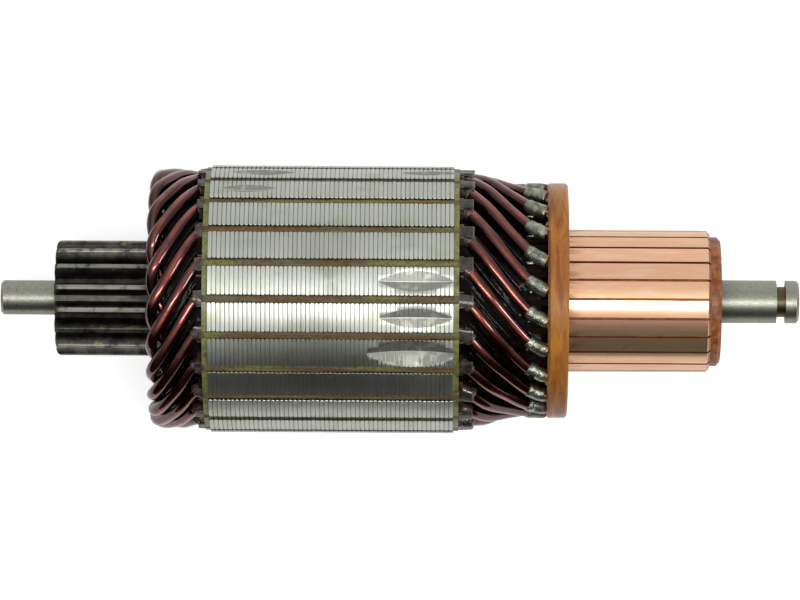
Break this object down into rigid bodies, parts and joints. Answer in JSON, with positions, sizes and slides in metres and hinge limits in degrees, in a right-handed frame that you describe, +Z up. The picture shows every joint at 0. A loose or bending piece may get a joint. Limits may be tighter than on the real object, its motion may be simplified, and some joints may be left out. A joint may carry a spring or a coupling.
{
  "type": "motor armature",
  "caption": "Wound armature of a geared starter motor: slotted laminated core, hairpin winding, moulded commutator and a shaft with a cut sun gear",
  "frame": {"origin": "on the shaft axis, at the middle of the commutator-end journal", "axes": "+X along the shaft towards the commutator end, +Z up through a tooth of the core, with a slot at the bottom where it rests"},
  "size_m": [0.1852, 0.062, 0.062],
  "materials": {
    "ground_steel": "ground, lightly oiled",
    "lamination_steel": "turned edges of thin sheets",
    "insulating_fibre": "olive fibre board",
    "slot_paper": "varnished paper",
    "enamelled_wire": "dark red enamel under clear varnish",
    "phenolic": "moulded, turned at the end",
    "ring_resin": "amber brown, turned",
    "commutator_copper": "diamond-turned copper"
  },
  "bodies": {
    "root": {"shaft": "ground_steel", "core_laminations": "lamination_steel", "drive_end_insulator": "insulating_fibre", "commutator_end_insulator": "insulating_fibre", "slot_liners": "slot_paper", "slot_wedges": "slot_paper", "drive_layer_insulation": "slot_paper", "commutator_layer_insulation": "slot_paper", "commutator_bush": "ground_steel", "commutator_hub": "phenolic", "riser_ring": "ring_resin", "coil_01": "enamelled_wire", "coil_02": "enamelled_wire", "coil_03": "enamelled_wire", "coil_04": "enamelled_wire", "coil_05": "enamelled_wire", "coil_06": "enamelled_wire", "coil_07": "enamelled_wire", "coil_08": "enamelled_wire", "coil_09": "enamelled_wire", "coil_10": "enamelled_wire", "coil_11": "enamelled_wire", "coil_12": "enamelled_wire", "coil_13": "enamelled_wire", "coil_14": "enamelled_wire", "coil_15": "enamelled_wire", "coil_16": "enamelled_wire", "coil_17": "enamelled_wire", "coil_18": "enamelled_wire", "coil_19": "enamelled_wire", "coil_20": "enamelled_wire", "coil_21": "enamelled_wire", "coil_22": "enamelled_wire", "coil_23": "enamelled_wire", "bar_01": "commutator_copper", "bar_02": "commutator_copper", "bar_03": "commutator_copper", "bar_04": "commutator_copper", "bar_05": "commutator_copper", "bar_06": "commutator_copper", "bar_07": "commutator_copper", "bar_08": "commutator_copper", "bar_09": "commutator_copper", "bar_10": "commutator_copper", "bar_11": "commutator_copper", "bar_12": "commutator_copper", "bar_13": "commutator_copper", "bar_14": "commutator_copper", "bar_15": "commutator_copper", "bar_16": "commutator_copper", "bar_17": "commutator_copper", "bar_18": "commutator_copper", "bar_19": "commutator_copper", "bar_20": "commutator_copper", "bar_21": "commutator_copper", "bar_22": "commutator_copper", "bar_23": "commutator_copper"}
  },
  "joints": []
}
